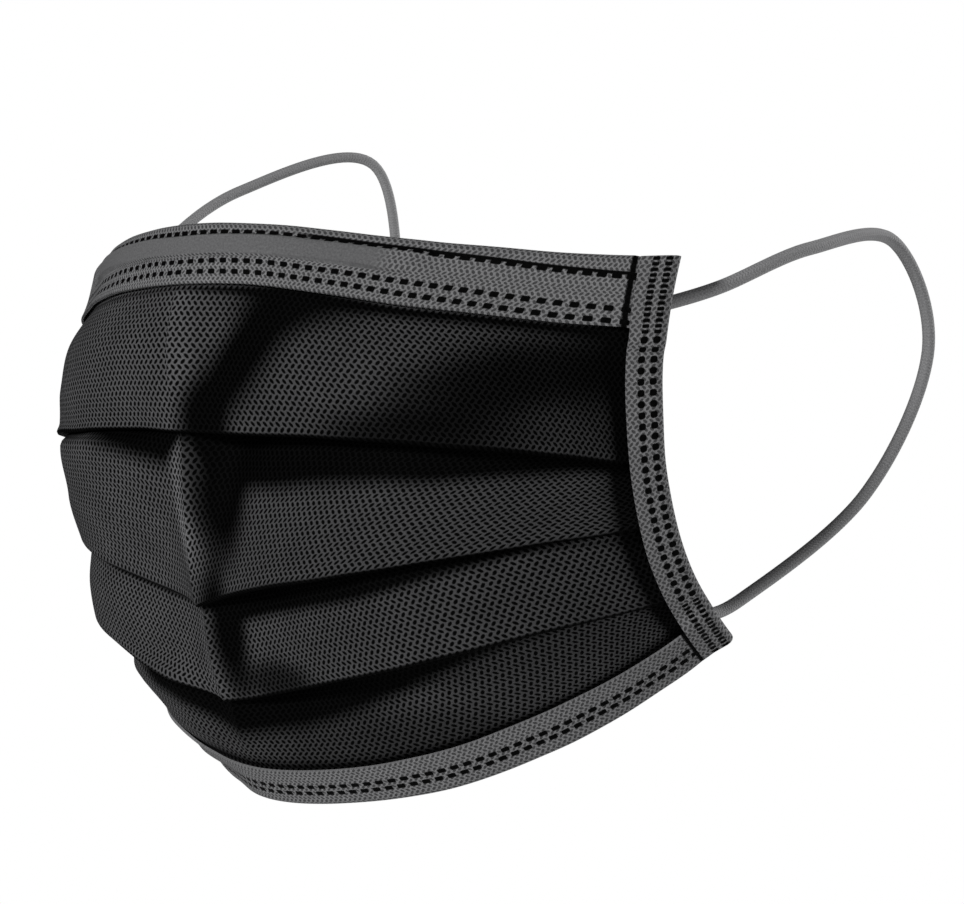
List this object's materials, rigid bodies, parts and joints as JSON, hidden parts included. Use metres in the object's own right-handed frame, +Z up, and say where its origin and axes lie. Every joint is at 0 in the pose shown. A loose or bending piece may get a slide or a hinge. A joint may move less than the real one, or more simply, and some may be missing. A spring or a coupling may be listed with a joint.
{
  "type": "surgical mask",
  "caption": "Pleated disposable face mask in its worn form, with bound edges, a nose wire in the top binding and round elastic ear loops.",
  "frame": {"origin": "on the inner face of the top binding, on the mask's middle plane, where it sits on the bridge of the nose", "axes": "+X towards the wearer's left, -Y out of the mask's front, +Z up to the top binding"},
  "size_m": [0.1677, 0.1162, 0.1272],
  "materials": {
    "black_cloth": "black spunbond nonwoven cloth with a fine embossed lattice of small oval pits",
    "grey_binding": "grey spunbond nonwoven tape, ultrasonically welded in rows of small dark dots",
    "grey_elastic": "round knitted elastic cord, dull grey",
    "zinc_wire": "zinc-coated soft iron strip, out of sight inside the top binding"
  },
  "bodies": {
    "root": {"mask_body": "black_cloth", "top_binding": "grey_binding", "bottom_binding": "grey_binding", "side_binding_left": "grey_binding", "side_binding_right": "grey_binding", "nose_wire": "zinc_wire", "ear_loop_left": "grey_elastic", "ear_loop_right": "grey_elastic"}
  },
  "joints": []
}
